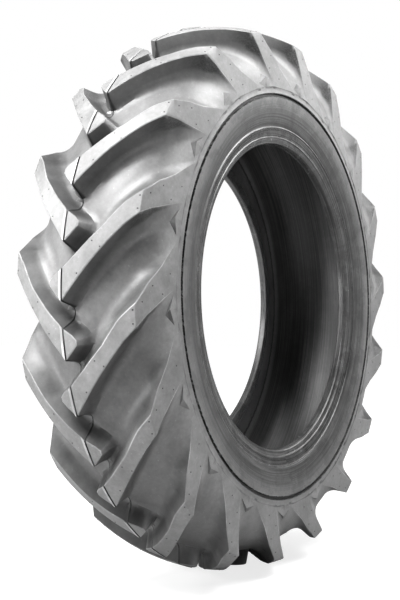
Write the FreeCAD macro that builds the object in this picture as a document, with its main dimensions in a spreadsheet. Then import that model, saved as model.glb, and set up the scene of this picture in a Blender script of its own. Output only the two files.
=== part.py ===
import FreeCAD, Part
import math
import os

import Sketcher
from FreeCAD import Placement, Rotation, Vector

# Bar-lug drive tyre, moulded in one piece, in millimetres and degrees.
# The origin is the wheel's centre, the axle is the Y axis and Z points up.
# Each side carries slanted lugs, and the far side's are turned by half a pitch.

SIZES = {
    # Bead: a cylindrical seat, a rounded heel and an inner flank
    "seat_radius": 304.8,
    "toe_half_width": 95.0,
    "heel_radius": 6.0,
    "bead_flank_angle": 13.2,
    "bead_inner_rise": 34.0,
    "bead_inner_step": 10.0,
    # Casing outline: radii are counted from the bead seat, widths from the centre plane
    "rim_line_rise": 31.7,
    "rim_line_half_width": 117.8,
    "widest_rise": 102.5,
    "widest_half_width": 130.3,
    "crown_rise": 207.2,
    # Crown arcs: how much larger a radius is than that of the round arc over the widest places
    "crown_flatness": 32.6,
    "inner_crown_flatness": 24.9,
    "wall_thickness": 8.5,
    "crown_thickness": 14.0,
    # Fine rings on the side wall: a rib at the rim flange and a groove below the lugs
    "rim_rib_radius": 1.2,
    "wall_groove_rise": 92.9,
    "wall_groove_radius": 1.0,
    # Tread envelope that trims the lugs
    "tread_depth": 34.7,
    "tread_arc_radius": 270.4,
    "break_inset": 6.6,
    "foot_proud": 0.6,
    "lug_root_sink": 5.0,
    # Lug plan: angles are counted from the tail corner on the centre plane
    "lug_count": 18,
    "lug_phase": 7.65,
    "nose_reach": 25.0,
    "nose_tail_angle": 2.65,
    "nose_lead_angle": 3.45,
    "centre_lead_angle": 5.45,
    "kink_half_width": 27.4,
    "kink_tail_angle": 3.35,
    "kink_lead_angle": 8.05,
    "break_tail_angle": 15.3,
    "break_lead_angle": 19.5,
    "flank_rise": 155.2,
    "flank_tail_angle": 19.05,
    "flank_lead_angle": 25.75,
    "foot_tail_angle": 23.25,
    "foot_lead_angle": 35.1,
    # Lug walls: draft, the rounding at the root, how far its arc turns, and small overlaps
    "draft_angle": 18.0,
    "nose_draft_angle": 30.0,
    "root_radius_centre": 10.0,
    "root_radius_shoulder": 36.0,
    "root_turn_angle": 55.0,
    "lug_slant_share": 0.66,
    "least_turn_angle": 2.0,
    "foot_fall_angle": 6.0,
    "least_wall": 1.0,
    "root_overlap": 1.0,
    "trim_margin": 3.0,
    # Small pointed gusset at the foot of each gap: four corners and a low peak
    "gusset_front_angle": 20.8,
    "gusset_front_rise": 116.2,
    "gusset_outer_angle": 16.6,
    "gusset_outer_rise": 133.9,
    "gusset_rear_angle": 14.1,
    "gusset_rear_rise": 115.9,
    "gusset_inner_angle": 17.6,
    "gusset_inner_rise": 106.6,
    "gusset_peak_angle": 17.8,
    "gusset_peak_rise": 127.0,
    "gusset_height": 3.0,
    "gusset_sink": 2.5,
}

# Radii of the crown arcs, as expressions in the sheet's sizes
CROWN_RUN = "(Sizes.crown_rise - Sizes.widest_rise)"
INNER_RUN = "(Sizes.crown_rise - Sizes.crown_thickness - Sizes.widest_rise)"
INNER_WIDTH = "(Sizes.widest_half_width - Sizes.wall_thickness)"
CROWN_ARC = (f"(Sizes.widest_half_width ^ 2 + {CROWN_RUN} ^ 2) / (2 * {CROWN_RUN})"
             " + Sizes.crown_flatness")
INNER_CROWN_ARC = (f"({INNER_WIDTH} ^ 2 + {INNER_RUN} ^ 2) / (2 * {INNER_RUN})"
                   " + Sizes.inner_crown_flatness")


def make_sheet(doc):
    """The spreadsheet of driving dimensions, one alias to a row."""
    sheet = doc.addObject("Spreadsheet::Sheet", "Sizes")
    for row, (name, value) in enumerate(SIZES.items(), start=1):
        sheet.set(f"A{row}", name)
        sheet.set(f"B{row}", str(value))
        sheet.setAlias(f"B{row}", name)
    doc.recompute()
    return sheet


def number(sketch, expression):
    """The value of an expression, as a plain number."""
    value = sketch.evalExpression(expression)
    return float(getattr(value, "Value", value))


def between(first, last, share):
    """A value part of the way from the first to the last."""
    return first + (last - first) * share


def origin_feature(body, role):
    """The origin plane or axis of a body that has that role."""
    return next(f for f in body.Origin.OriginFeatures if f.Role == role)


def half_section(body, name):
    """An empty sketch on the body's XY plane, with the radius along X and the width along Y."""
    sketch = body.newObject("Sketcher::SketchObject", name)
    sketch.AttachmentSupport = [(origin_feature(body, "XY_Plane"), "")]
    sketch.MapMode = "FlatFace"
    return sketch


def size(sketch, kind, references, name, expression):
    """A driving constraint whose value is bound to the spreadsheet."""
    value = number(sketch, expression)
    if kind == "Angle":
        value = math.radians(value)
    index = sketch.addConstraint(Sketcher.Constraint(kind, *references, value))
    sketch.renameConstraint(index, name)
    sketch.setExpression(f"Constraints.{name}", expression)


def place_point(sketch, edge, end, name, radius, width):
    """Fixes one end of an edge at a radius and a width from the centre plane."""
    size(sketch, "DistanceX", (-1, 1, edge, end), name + "_radius", radius)
    size(sketch, "DistanceY", (-1, 1, edge, end), name + "_width", width)


def arc(centre, radius, start, end):
    """A counter-clockwise arc in a sketch, with its angles in degrees from the radius direction."""
    circle = Part.Circle(Vector(*centre, 0), Vector(0, 0, 1), radius)
    return Part.ArcOfCircle(circle, math.radians(start), math.radians(end))


def line(start, end):
    """A straight edge in a sketch."""
    return Part.LineSegment(Vector(*start, 0), Vector(*end, 0))


def join(sketch, pairs):
    """Joins the ends of edges: each pair is an edge's end and the next edge's start."""
    for first, second in pairs:
        sketch.addConstraint(Sketcher.Constraint("Coincident", *first, *second))


class Outline:
    """Radii and arc centres of the casing and the tread, worked out from the sheet."""

    def __init__(self, sheet):
        self.sheet = sheet
        self.widest = sheet.seat_radius + sheet.widest_rise
        self.rim_line = sheet.seat_radius + sheet.rim_line_rise
        self.crown = sheet.seat_radius + sheet.crown_rise
        self.crown_arc = self.round_arc(sheet.widest_half_width, self.crown) + sheet.crown_flatness
        self.crown_centre = self.crown - self.crown_arc
        self.top = self.crown + sheet.tread_depth
        self.top_centre = self.top - sheet.tread_arc_radius
        self.shoulder_radius = self.shoulder_arc(self.crown_arc, sheet.widest_half_width, self.crown)
        self.shoulder_centre = sheet.widest_half_width - self.shoulder_radius
        self.foot = self.widest
        self.foot_half_width = sheet.widest_half_width + sheet.foot_proud
        self.break_half_width = sheet.widest_half_width - sheet.break_inset
        self.break_radius = self.tread_radius(self.break_half_width)

    def round_arc(self, half_width, top):
        """Radius of the one arc that passes through both widest places and the top between them."""
        rise = top - self.widest
        return (half_width**2 + rise**2) / (2 * rise)

    def shoulder_arc(self, crown_arc, half_width, top):
        """Radius of the arc that touches the crown arc and stands upright at the widest place."""
        rise = self.widest - (top - crown_arc)
        return (crown_arc**2 - half_width**2 - rise**2) / (2 * (crown_arc - half_width))

    def shoulder_turn(self, crown_arc, half_width, top):
        """Angle at which the crown arc passes into the shoulder arc."""
        centre = half_width - self.shoulder_arc(crown_arc, half_width, top)
        return math.degrees(math.atan2(centre, self.widest - (top - crown_arc)))

    def side_arc(self, half_width, low_radius, low_half_width):
        """Radius of the side wall's arc, upright at the widest place, down to a lower point."""
        run = self.widest - low_radius
        drop = half_width - low_half_width
        return (run**2 + drop**2) / (2 * drop)

    def tread_radius(self, half_width):
        """Radius of the tread arc at a distance from the centre plane."""
        return self.top_centre + math.sqrt(self.sheet.tread_arc_radius**2 - half_width**2)

    def face_half_width(self, radius):
        """Width of the lugs' shoulder face at a radius."""
        share = (self.break_radius - radius) / (self.break_radius - self.foot)
        return self.break_half_width + share * (self.foot_half_width - self.break_half_width)

    def casing_below(self, width, radius):
        """The casing's surface normal through a point above it, as an angle, and the height."""
        angle = math.atan2(width, radius - self.crown_centre)
        turn = math.radians(self.shoulder_turn(self.crown_arc, self.sheet.widest_half_width, self.crown))
        if angle <= turn:
            reach = math.hypot(width, radius - self.crown_centre)
            return angle, reach - self.crown_arc
        angle = math.atan2(width - self.shoulder_centre, radius - self.widest)
        reach = math.hypot(width - self.shoulder_centre, radius - self.widest)
        return angle, reach - self.shoulder_radius


def revolve(body, sketch, name):
    """A full turn of a half section about the axle."""
    turned = body.newObject("PartDesign::Revolution", name)
    turned.Profile = sketch
    turned.ReferenceAxis = (sketch, ["V_Axis"])
    turned.Angle = 360.0
    return turned


def mirror_half(body, originals):
    """Repeats the features of one half on the other side of the centre plane."""
    mirrored = body.newObject("PartDesign::Mirrored", "both_halves")
    mirrored.Originals = originals
    mirrored.MirrorPlane = (origin_feature(body, "XZ_Plane"), [""])
    body.Tip = mirrored


def draw_casing_section(sketch, outline):
    """Half of the casing's wall section, from the crown round the bead and back inside."""
    sheet = outline.sheet
    seat = sheet.seat_radius
    widest = outline.widest
    inner_top = outline.crown - sheet.crown_thickness
    inner_width = sheet.widest_half_width - sheet.wall_thickness
    inner_crown = outline.round_arc(inner_width, inner_top) + sheet.inner_crown_flatness
    bead_top = (seat + sheet.bead_inner_rise, sheet.toe_half_width + sheet.bead_inner_step)
    outer_turn = outline.shoulder_turn(outline.crown_arc, sheet.widest_half_width, outline.crown)
    inner_turn = outline.shoulder_turn(inner_crown, inner_width, inner_top)
    inner_shoulder = outline.shoulder_arc(inner_crown, inner_width, inner_top)
    side = outline.side_arc(sheet.widest_half_width, outline.rim_line, sheet.rim_line_half_width)
    inner_side = outline.side_arc(inner_width, *bead_top)
    side_turn = math.degrees(math.asin((widest - outline.rim_line) / side))
    inner_side_turn = math.degrees(math.asin((widest - bead_top[0]) / inner_side))
    flank = math.radians(sheet.bead_flank_angle)
    heel = sheet.heel_radius
    heel_width = sheet.rim_line_half_width - (sheet.rim_line_rise - heel) * math.tan(flank) - heel
    heel_end = (seat + heel * (1 - math.sin(flank)), heel_width + heel * math.cos(flank))
    sketch.addGeometry([
        arc((outline.crown_centre, 0), outline.crown_arc, 0, outer_turn),
        arc((widest, outline.shoulder_centre), outline.shoulder_radius, outer_turn, 90),
        arc((widest, sheet.widest_half_width - side), side, 90, 90 + side_turn),
        line((outline.rim_line, sheet.rim_line_half_width), heel_end),
        arc((seat + heel, heel_width), heel, 90 + sheet.bead_flank_angle, 180),
        line((seat, heel_width), (seat, sheet.toe_half_width)),
        line((seat, sheet.toe_half_width), bead_top),
        arc((widest, inner_width - inner_side), inner_side, 90, 90 + inner_side_turn),
        arc((widest, inner_width - inner_shoulder), inner_shoulder, inner_turn, 90),
        arc((inner_top - inner_crown, 0), inner_crown, 0, inner_turn),
        line((inner_top, 0), (outline.crown, 0)),
    ], False)


def constrain_casing_section(sketch):
    """Joins and sizes the casing section's edges."""
    join(sketch, [((1, 2), (2, 1)), ((2, 2), (3, 1)), ((5, 2), (6, 1)), ((6, 2), (7, 2)),
                  ((7, 1), (8, 2)), ((9, 1), (10, 1)), ((10, 2), (0, 1))])
    for first, second in (((0, 2), (1, 1)), ((3, 2), (4, 1)), ((4, 2), (5, 1)), ((8, 1), (9, 2))):
        sketch.addConstraint(Sketcher.Constraint("Tangent", *first, *second))
    for upright, end in ((1, 2), (2, 1), (7, 1), (8, 2)):
        sketch.addConstraint(Sketcher.Constraint("Vertical", upright, 3, upright, end))
    for edge, end in ((0, 1), (0, 3), (9, 1), (9, 3)):
        sketch.addConstraint(Sketcher.Constraint("PointOnObject", edge, end, -1))
    sketch.addConstraint(Sketcher.Constraint("Vertical", 5))
    size(sketch, "DistanceX", (-1, 1, 0, 1), "crown_r", "Sizes.seat_radius + Sizes.crown_rise")
    size(sketch, "DistanceX", (-1, 1, 9, 1), "inner_crown_r",
         "Sizes.seat_radius + Sizes.crown_rise - Sizes.crown_thickness")
    size(sketch, "Radius", (0,), "crown_arc", CROWN_ARC)
    size(sketch, "Radius", (9,), "inner_crown_arc", INNER_CROWN_ARC)
    place_point(sketch, 1, 2, "widest", "Sizes.seat_radius + Sizes.widest_rise", "Sizes.widest_half_width")
    place_point(sketch, 2, 2, "rim_line", "Sizes.seat_radius + Sizes.rim_line_rise",
                "Sizes.rim_line_half_width")
    size(sketch, "Angle", (3,), "bead_flank", "180 + Sizes.bead_flank_angle")
    size(sketch, "Radius", (4,), "heel", "Sizes.heel_radius")
    place_point(sketch, 5, 2, "toe", "Sizes.seat_radius", "Sizes.toe_half_width")
    place_point(sketch, 6, 2, "bead_top", "Sizes.seat_radius + Sizes.bead_inner_rise",
                "Sizes.toe_half_width + Sizes.bead_inner_step")
    place_point(sketch, 8, 2, "inner_wall", "Sizes.seat_radius + Sizes.widest_rise",
                "Sizes.widest_half_width - Sizes.wall_thickness")


def ring_section(body, name, radius, width, ring_radius):
    """A small round section on the side wall, for a rib or a groove."""
    sketch = half_section(body, name)
    centre = Vector(number(sketch, radius), number(sketch, width), 0)
    sketch.addGeometry(Part.Circle(centre, Vector(0, 0, 1), number(sketch, ring_radius)), False)
    place_point(sketch, 0, 3, "ring", radius, width)
    size(sketch, "Radius", (0,), "ring_size", ring_radius)
    return sketch


def make_casing(doc, outline):
    """The carcass: bead, side walls and crown, with its two fine rings."""
    body = doc.addObject("PartDesign::Body", "casing")
    section = half_section(body, "casing_section")
    draw_casing_section(section, outline)
    constrain_casing_section(section)
    shell = revolve(body, section, "casing_shell")
    rib_section = ring_section(body, "rim_rib_section", "Sizes.seat_radius + Sizes.rim_line_rise",
                               "Sizes.rim_line_half_width", "Sizes.rim_rib_radius")
    doc.recompute()
    rib = revolve(body, rib_section, "rim_rib")
    drop = "(Sizes.widest_half_width - Sizes.rim_line_half_width)"
    run = "(Sizes.widest_rise - Sizes.rim_line_rise)"
    side = f"(({run} ^ 2 + {drop} ^ 2) / (2 * {drop}))"
    step = "(Sizes.widest_rise - Sizes.wall_groove_rise)"
    groove_section = ring_section(body, "wall_groove_section",
                                  "Sizes.seat_radius + Sizes.wall_groove_rise",
                                  f"Sizes.widest_half_width - {side} + sqrt({side} ^ 2 - {step} ^ 2)",
                                  "Sizes.wall_groove_radius")
    doc.recompute()
    groove = body.newObject("PartDesign::Groove", "wall_groove")
    groove.Profile = groove_section
    groove.ReferenceAxis = (groove_section, ["V_Axis"])
    groove.Angle = 360.0
    doc.recompute()
    if groove.Shape.Volume >= rib.Shape.Volume:
        raise RuntimeError("the side wall's groove cuts nothing")
    mirror_half(body, [shell, rib, groove])
    return body


def make_envelope(doc, outline):
    """The ring that holds every lug: tread arc, shoulder faces and a seat inside the casing."""
    sheet = outline.sheet
    sink = sheet.lug_root_sink
    body = doc.addObject("PartDesign::Body", "tread_envelope")
    sketch = half_section(body, "tread_section")
    break_turn = math.degrees(math.asin(outline.break_half_width / sheet.tread_arc_radius))
    turn = outline.shoulder_turn(outline.crown_arc, sheet.widest_half_width, outline.crown)
    root = sheet.widest_half_width - sink
    sketch.addGeometry([
        arc((outline.top_centre, 0), sheet.tread_arc_radius, 0, break_turn),
        line((outline.break_radius, outline.break_half_width), (outline.foot, outline.foot_half_width)),
        line((outline.foot, outline.foot_half_width), (outline.foot, root)),
        arc((outline.widest, outline.shoulder_centre), outline.shoulder_radius - sink, turn, 90),
        arc((outline.crown_centre, 0), outline.crown_arc - sink, 0, turn),
        line((outline.crown - sink, 0), (outline.top, 0)),
    ], False)
    join(sketch, [((0, 2), (1, 1)), ((1, 2), (2, 1)), ((2, 2), (3, 2)), ((4, 1), (5, 1)),
                  ((5, 2), (0, 1))])
    sketch.addConstraint(Sketcher.Constraint("Tangent", 3, 1, 4, 2))
    sketch.addConstraint(Sketcher.Constraint("Vertical", 2))
    sketch.addConstraint(Sketcher.Constraint("Vertical", 3, 3, 3, 2))
    for edge, end in ((0, 1), (0, 3), (4, 1), (4, 3)):
        sketch.addConstraint(Sketcher.Constraint("PointOnObject", edge, end, -1))
    size(sketch, "DistanceX", (-1, 1, 0, 1), "top_r",
         "Sizes.seat_radius + Sizes.crown_rise + Sizes.tread_depth")
    size(sketch, "Radius", (0,), "tread_arc", "Sizes.tread_arc_radius")
    size(sketch, "DistanceY", (-1, 1, 0, 2), "break_width",
         "Sizes.widest_half_width - Sizes.break_inset")
    place_point(sketch, 1, 2, "foot", "Sizes.seat_radius + Sizes.widest_rise",
                "Sizes.widest_half_width + Sizes.foot_proud")
    size(sketch, "DistanceY", (-1, 1, 2, 2), "root_width", "Sizes.widest_half_width - Sizes.lug_root_sink")
    size(sketch, "DistanceX", (-1, 1, 4, 1), "root_r",
         "Sizes.seat_radius + Sizes.crown_rise - Sizes.lug_root_sink")
    size(sketch, "Radius", (4,), "root_arc", f"{CROWN_ARC} - Sizes.lug_root_sink")
    mirror_half(body, [revolve(body, sketch, "tread_ring")])
    return body


def root_profile(outline, width, height):
    """Depth of a lug wall's straight part, and how far its root reaches sideways, across the lug."""
    sheet = outline.sheet
    draft = math.radians(sheet.draft_angle)
    share = min(1.0, abs(width) / outline.break_half_width)
    root = between(sheet.root_radius_centre, sheet.root_radius_shoulder, share)
    straight = height - root * (1 - math.sin(draft))
    if straight > sheet.least_wall:
        return straight, straight * math.tan(draft) + root * math.cos(draft)
    reach = math.sqrt(max(root**2 - (root - height) ** 2, 1.0))
    return sheet.least_wall, reach


def lug_half_section(outline, width, height, half_top, radius):
    """Points down one side of a lug, sideways and upwards from the middle of its top.

    They are the wall's upper end above the tread, its lower end, the middle of the root's arc
    and the root's foot, a little below the casing's surface.
    """
    sheet = outline.sheet
    straight, reach = root_profile(outline, width, height)
    slope = math.tan(math.radians(sheet.draft_angle)) / sheet.lug_slant_share
    half_foot = half_top + reach / sheet.lug_slant_share
    sag = half_foot**2 / (2 * radius)
    upper = (half_top - slope * sheet.trim_margin, sheet.trim_margin)
    bend = (half_top + slope * straight, -straight)
    foot = (half_foot, -height - sag - sheet.root_overlap)
    chord = math.hypot(foot[0] - bend[0], foot[1] - bend[1])
    fall = math.degrees(math.asin((bend[1] - foot[1]) / chord))
    turn = min(sheet.root_turn_angle, max(sheet.least_turn_angle, 2 * (fall - sheet.foot_fall_angle)))
    sagitta = chord / 2 * math.tan(math.radians(turn) / 4)
    belly = ((foot[0] + bend[0]) / 2 + sagitta * (foot[1] - bend[1]) / chord,
             (foot[1] + bend[1]) / 2 - sagitta * (foot[0] - bend[0]) / chord)
    return upper, bend, belly, foot


def lug_station(outline, width, radius, tail, lead, down=None):
    """The closed wire across a lug at one place: flat top, drafted walls and rounded roots.

    width and radius place the top, tail and lead are its two edges' angles, and down is the
    slope of the section's plane, which follows the casing's normal where it isn't given.
    """
    sheet = outline.sheet
    normal, height = outline.casing_below(abs(width), radius)
    if down is None:
        down = math.copysign(normal, width)
    half_turn = math.radians(lead - tail) / 2
    middle = math.radians((lead + tail) / 2 + sheet.lug_phase)
    outward = Vector(math.sin(middle), 0, math.cos(middle))
    along = Vector(math.cos(middle), 0, -math.sin(middle))
    rise = outward * math.cos(down) + Vector(0, math.sin(down), 0)
    top = outward * (radius * math.cos(half_turn)) + Vector(0, width, 0)
    half_top = radius * math.sin(half_turn)
    upper, bend, belly, foot = lug_half_section(outline, width, height, half_top, radius)

    def at(point, side):
        return top + along * (side * point[0]) + rise * point[1]

    return Part.Wire([
        Part.makeLine(at(upper, -1), at(upper, 1)),
        Part.makeLine(at(upper, 1), at(bend, 1)),
        Part.Arc(at(bend, 1), at(belly, 1), at(foot, 1)).toShape(),
        Part.makeLine(at(foot, 1), at(foot, -1)),
        Part.Arc(at(foot, -1), at(belly, -1), at(bend, -1)).toShape(),
        Part.makeLine(at(bend, -1), at(upper, -1)),
    ])


def make_lug_bar(doc, outline):
    """One untrimmed lug on the near side, lofted from its nose tip to its foot."""
    sheet = outline.sheet
    nose_tilt = -math.radians(sheet.nose_draft_angle)
    stations = [
        lug_station(outline, sheet.nose_reach, outline.tread_radius(sheet.nose_reach),
                    sheet.nose_tail_angle, sheet.nose_lead_angle, nose_tilt),
        lug_station(outline, 0.0, outline.top, 0.0, sheet.centre_lead_angle),
    ]
    for share in (0.0, 0.25, 0.5, 0.75, 1.0):
        width = between(sheet.kink_half_width, outline.break_half_width, share)
        tail = between(sheet.kink_tail_angle, sheet.break_tail_angle, share)
        lead = between(sheet.kink_lead_angle, sheet.break_lead_angle, share)
        stations.append(lug_station(outline, -width, outline.tread_radius(width), tail, lead))
    flank = sheet.seat_radius + sheet.flank_rise
    stations.append(lug_station(outline, -outline.face_half_width(flank), flank,
                                sheet.flank_tail_angle, sheet.flank_lead_angle))
    stations.append(lug_station(outline, -outline.foot_half_width, outline.foot,
                                sheet.foot_tail_angle, sheet.foot_lead_angle))
    lug = doc.addObject("Part::Feature", "lug_bar")
    lug.Shape = Part.makeLoft(stations, True, True)
    return lug


def trim_lug(doc, lug, envelope):
    """The part of the bar that lies inside the tread envelope."""
    trimmed = doc.addObject("Part::Common", "lug")
    trimmed.Base = lug
    trimmed.Tool = envelope
    return trimmed


def mirror(doc, source, name):
    """The same detail on the other side of the centre plane."""
    mirrored = doc.addObject("Part::Mirroring", name)
    mirrored.Source = source
    mirrored.Base = Vector(0, 0, 0)
    mirrored.Normal = Vector(0, 1, 0)
    return mirrored


def on_shoulder(outline, angle, rise, height):
    """A point at a height above the near side's shoulder."""
    sheet = outline.sheet
    turn = math.asin((sheet.seat_radius + rise - outline.widest) / outline.shoulder_radius)
    reach = outline.shoulder_radius + height
    width = outline.shoulder_centre + reach * math.cos(turn)
    radius = outline.widest + reach * math.sin(turn)
    around = math.radians(angle + sheet.lug_phase)
    return Vector(radius * math.sin(around), -width, radius * math.cos(around))


def make_gusset(doc, outline):
    """The small pointed gusset beside a lug's foot, a four-sided pyramid on the casing."""
    sheet = outline.sheet
    sink = -sheet.gusset_sink
    corners = [
        on_shoulder(outline, sheet.gusset_front_angle, sheet.gusset_front_rise, sink),
        on_shoulder(outline, sheet.gusset_outer_angle, sheet.gusset_outer_rise, sink),
        on_shoulder(outline, sheet.gusset_rear_angle, sheet.gusset_rear_rise, sink),
        on_shoulder(outline, sheet.gusset_inner_angle, sheet.gusset_inner_rise, sink),
    ]
    peak = on_shoulder(outline, sheet.gusset_peak_angle, sheet.gusset_peak_rise, sheet.gusset_height)
    front, outer, rear, inner = corners
    triangles = [(front, outer, peak), (outer, rear, peak), (rear, inner, peak), (inner, front, peak),
                 (front, inner, outer), (outer, inner, rear)]
    faces = [Part.Face(Part.makePolygon([first, second, third, first]))
             for first, second, third in triangles]
    gusset = doc.addObject("Part::Feature", "gusset")
    gusset.Shape = Part.Solid(Part.Shell(faces))
    return gusset


def ring_of(doc, sheet, source, name, phase):
    """Copies of one moulded detail, spaced evenly round the axle."""
    pitch = 360.0 / sheet.lug_count
    copies = []
    for index in range(int(sheet.lug_count)):
        copy = doc.addObject("Part::Feature", f"{name}_{index + 1}")
        copy.Shape = source.Shape
        copy.Placement = Placement(Vector(0, 0, 0), Rotation(Vector(0, 1, 0), phase + index * pitch))
        copies.append(copy)
    return copies


def check(doc, node):
    """Stops before the export if any object failed or the finished solid isn't sound."""
    for item in doc.Objects:
        if "Invalid" in item.State or "Error" in item.State:
            raise RuntimeError(f"{item.Label} failed to compute")
    shape = node.Shape
    if shape.isNull() or not shape.isValid() or len(shape.Solids) != 1:
        raise RuntimeError(f"{node.Label} isn't one sound solid")


def main():
    doc = FreeCAD.newDocument("bar_lug_tyre")
    sheet = make_sheet(doc)
    outline = Outline(sheet)
    casing = make_casing(doc, outline)
    envelope = make_envelope(doc, outline)
    doc.recompute()
    near_lug = trim_lug(doc, make_lug_bar(doc, outline), envelope)
    far_lug = mirror(doc, near_lug, "far_lug")
    near_gusset = make_gusset(doc, outline)
    far_gusset = mirror(doc, near_gusset, "far_gusset")
    doc.recompute()
    half_pitch = 180.0 / sheet.lug_count
    details = ring_of(doc, sheet, near_lug, "near_lug", 0.0)
    details += ring_of(doc, sheet, far_lug, "far_lug", half_pitch)
    details += ring_of(doc, sheet, near_gusset, "near_gusset", 0.0)
    details += ring_of(doc, sheet, far_gusset, "far_gusset", half_pitch)
    tyre = doc.addObject("Part::MultiFuse", "tyre")
    tyre.Shapes = [casing] + details
    tyre.Label = "tyre"
    doc.recompute()
    check(doc, tyre)
    os.makedirs("parts", exist_ok=True)
    tyre.Shape.exportStep(f"parts/{tyre.Label}.step")


main()
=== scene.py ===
import math
from collections import namedtuple
from itertools import groupby

import bmesh
import bpy
import numpy as np
from mathutils import Matrix, Vector
from mathutils.geometry import delaunay_2d_cdt


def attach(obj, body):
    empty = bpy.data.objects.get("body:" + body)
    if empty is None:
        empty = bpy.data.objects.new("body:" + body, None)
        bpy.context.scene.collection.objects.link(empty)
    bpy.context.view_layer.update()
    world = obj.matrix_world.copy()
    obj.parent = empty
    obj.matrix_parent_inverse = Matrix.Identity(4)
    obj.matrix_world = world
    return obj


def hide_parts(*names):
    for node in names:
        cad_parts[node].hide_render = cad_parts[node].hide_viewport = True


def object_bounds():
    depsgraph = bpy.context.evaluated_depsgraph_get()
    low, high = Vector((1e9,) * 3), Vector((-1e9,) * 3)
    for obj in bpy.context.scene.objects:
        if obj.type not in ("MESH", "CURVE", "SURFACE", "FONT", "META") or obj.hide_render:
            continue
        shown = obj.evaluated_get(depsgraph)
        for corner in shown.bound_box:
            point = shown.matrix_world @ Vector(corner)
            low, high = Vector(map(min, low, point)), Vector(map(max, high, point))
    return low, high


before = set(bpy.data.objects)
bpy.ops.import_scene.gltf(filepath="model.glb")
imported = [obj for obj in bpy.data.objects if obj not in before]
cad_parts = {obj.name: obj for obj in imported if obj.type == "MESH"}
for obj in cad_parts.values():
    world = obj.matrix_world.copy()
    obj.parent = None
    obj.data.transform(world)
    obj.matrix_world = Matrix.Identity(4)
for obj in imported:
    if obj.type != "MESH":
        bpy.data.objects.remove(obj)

size_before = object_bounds()

# Lengths are in millimetres from the wheel's centre, angles in degrees, until a mesh is made.
# A place on the casing is an angle round the axle and a length along the casing's section,
# counted from the centre plane, and a height is measured along the casing's normal there.
MM = 0.001

# Casing section: points are half widths and radii
SEAT_RADIUS = 304.8
SEAT_TOE_HALF = 95.0
SEAT_END = (SEAT_TOE_HALF + 1.0, SEAT_RADIUS)
SEAT_TOE = (SEAT_TOE_HALF, SEAT_RADIUS + 0.6)
BEAD_INSIDE = (SEAT_TOE_HALF + 3.0, SEAT_RADIUS + 10.2)
BEAD_TOP = (SEAT_TOE_HALF + 10.0, SEAT_RADIUS + 34.0)
HEEL_RADIUS = 6.0
FLANK_ANGLE = 13.2
HEEL_ANGLES = (FLANK_ANGLE, 32.0, 51.0, 70.0, 90.0)
RIM_LINE_RADIUS = SEAT_RADIUS + 31.7
RIM_LINE_HALF = 117.8
WIDEST_RADIUS = SEAT_RADIUS + 102.5
WIDEST_HALF = 130.3
CROWN_RADIUS = SEAT_RADIUS + 207.2
CROWN_ARC = 166.0
WALL_THICKNESS = 8.5
CROWN_THICKNESS = 14.0
WALL_RADII = np.linspace(390.0, 341.0, 10)

# Rib at the rim line: steps of the radius from the line's, and heights over the side wall
RIM_RIB = [(2.4, 0.0), (1.3, 0.5), (0.5, 1.3), (-0.5, 1.5), (-1.3, 0.8), (-1.7, 0.0)]

# Rib on the bead's flank: radii, and heights over the flank
HEEL_RIB = [(332.0, 0.0), (319.8, 0.0), (318.4, 1.0), (317.4, 1.1), (316.0, 0.0), (313.0, 0.0)]

# Tread: the seam fin stands on the lugs, and its crest is the largest radius
FIN_HEIGHT = 1.1
TREAD_DEPTH = 34.7
TREAD_TOP = CROWN_RADIUS + TREAD_DEPTH - FIN_HEIGHT
TREAD_ARC = 270.4
BREAK_HALF = 123.7
FOOT_HALF = WIDEST_HALF + 0.6

# Band at the lugs' feet, which leans in towards the casing's widest place
BAND_LENGTH = 6.5
BAND_HALF = WIDEST_HALF - 1.1

# Seam: heights over the lugs, and between them, at lengths from the centre plane
SEAM_LENGTHS = (0.0, 0.6, 2.1, 4.6)
NEAR_SEAM = (1.05, -1.3, 0.0, 0.0)
FAR_SEAM = (1.05, 1.05, 0.9, 0.0)
LOW_SEAM = (0.0, -0.9, 0.0, 0.0)

# Marks of a face's wear and painted light: above zero where it is pale, and below zero where it is dark.
# The lugs' edges are pale from wear and a painted highlight, the seam fin's far side has a painted
# highlight and its near side painted shade, and one face of each gusset has painted shade
EDGE_WEAR_AND_HIGHLIGHT = 1.0
SEAM_PAINTED_HIGHLIGHT = 2.2
SEAM_PAINTED_SHADE = -2.4
GUSSET_PAINTED_SHADE = -1.1

# Lugs round the tyre: the near side is -1 and the far side 1, each with its first lug's turn,
# and the other turns bring lugs of a cell's own half, or of the other half, into the cell
LUG_COUNT = 18
PITCH = 360.0 / LUG_COUNT
LUG_PHASE = 7.65
SIDES = ((-1, 0.0), (1, PITCH / 2))
FULL_TURNS = (-PITCH, 0.0, PITCH)
HALF_TURNS = (-PITCH / 2, PITCH / 2, 1.5 * PITCH)

# Lug plan: angles from the tail corner, with a half width on the tread or a radius on the shoulder
TAIL_TREAD = [(3.35, 27.4), (15.3, BREAK_HALF)]
TAIL_SHOULDER = [(17.15, 488.6), (19.1, 459.3), (20.95, 434.0), (23.0, WIDEST_RADIUS)]
LEAD_TREAD = [(5.45, 0.0), (8.05, 27.4), (12.5, 68.6), (16.75, 97.5), (19.5, BREAK_HALF)]
LEAD_SHOULDER = [(23.1, 485.0), (26.65, 453.0), (31.2, 427.0), (35.0, WIDEST_RADIUS)]
NOSE = [(4.3, -17.5), (3.45, -25.0), (2.65, -25.0), (1.6, -16.0)]
GAP_TREAD = [(-2.3, 0.0), (-1.75, 25.0), (-0.55, 60.0), (7.4, BREAK_HALF)]
GAP_SHOULDER = [(10.1, 488.0), (12.2, 459.0), (13.0, 438.7), (13.3, 421.0), (15.4, 411.0),
                (16.0, WIDEST_RADIUS)]

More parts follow.
